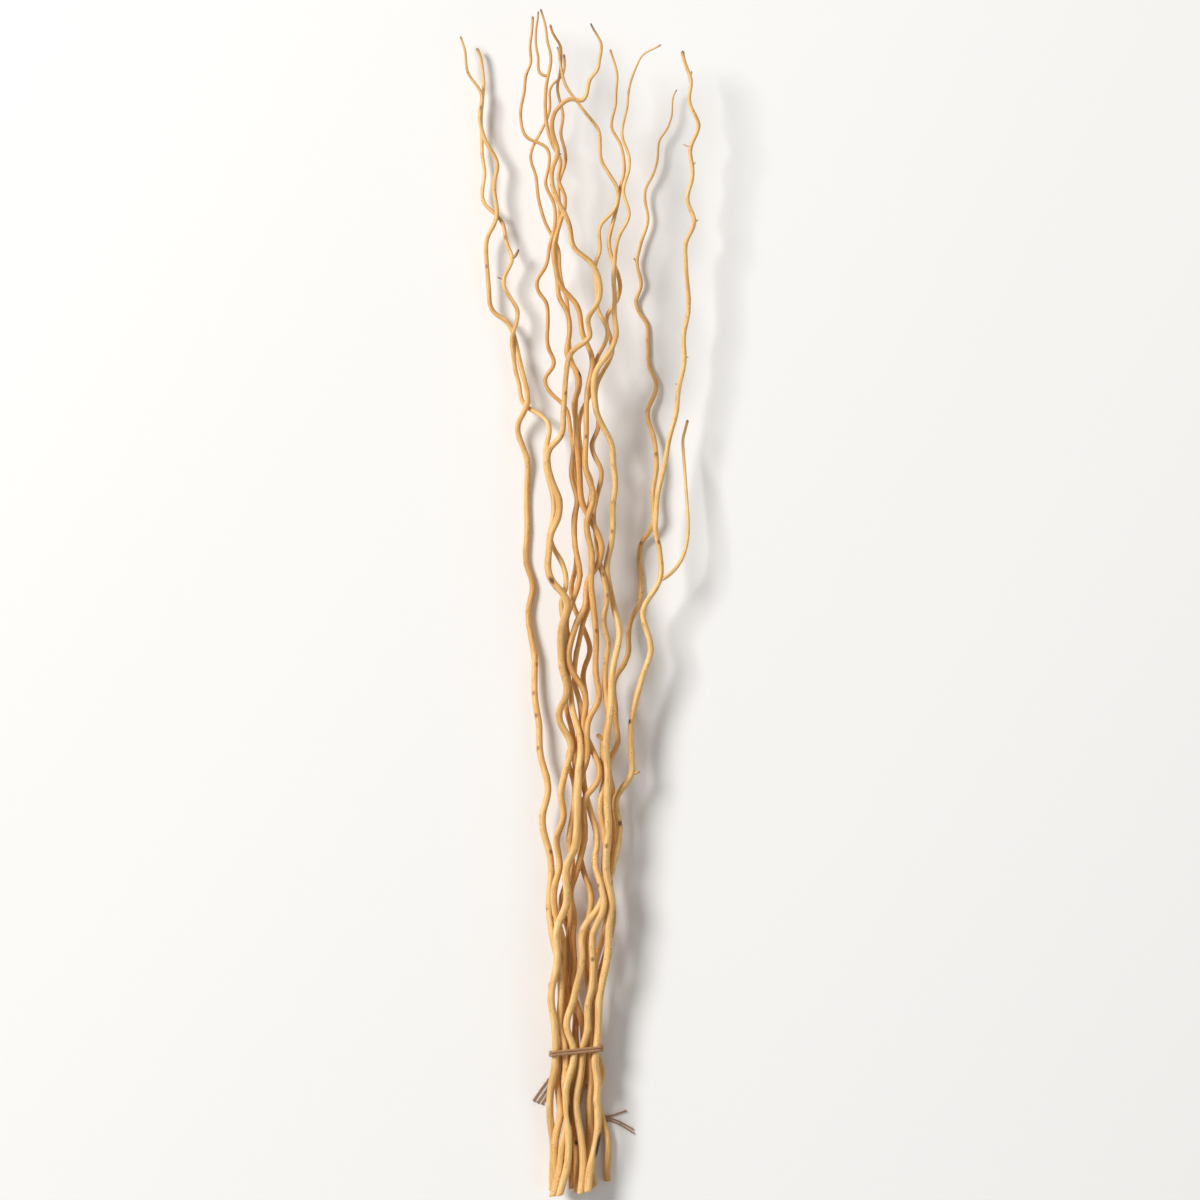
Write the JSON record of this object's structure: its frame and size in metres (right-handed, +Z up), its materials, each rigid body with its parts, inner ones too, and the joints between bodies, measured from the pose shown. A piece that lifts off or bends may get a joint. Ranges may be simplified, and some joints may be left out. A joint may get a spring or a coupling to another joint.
{
  "type": "bundle of curly branches",
  "caption": "Tied bundle of peeled, curly tree branches lying flat, for a floor vase: wavy stems with forked tips, held by twine near the cut ends.",
  "frame": {"origin": "on the surface the bundle lies on, below the middle of the box round its branches and tie, without the loose twine ends", "axes": "+Y from the cut ends to the tips, +X across the bundle to the right seen from above with the tips away, +Z up from the surface"},
  "size_m": [0.2416, 1.1842, 0.1086],
  "materials": {
    "peeled_wood": "bare peeled wood, warm golden tan, satin",
    "jute_twine": "brown twisted jute, matt and hairy"
  },
  "bodies": {
    "root": {"branch_01": "peeled_wood", "branch_02": "peeled_wood", "branch_03": "peeled_wood", "branch_04": "peeled_wood", "branch_05": "peeled_wood", "branch_06": "peeled_wood", "branch_07": "peeled_wood", "branch_08": "peeled_wood", "branch_09": "peeled_wood", "branch_10": "peeled_wood", "branch_11": "peeled_wood", "branch_12": "peeled_wood", "twine_tie": "jute_twine", "twine_tail_left_1": "jute_twine", "twine_tail_left_2": "jute_twine", "twine_tail_left_3": "jute_twine", "twine_tail_right_1": "jute_twine", "twine_tail_right_2": "jute_twine", "twine_tail_right_3": "jute_twine"}
  },
  "joints": []
}
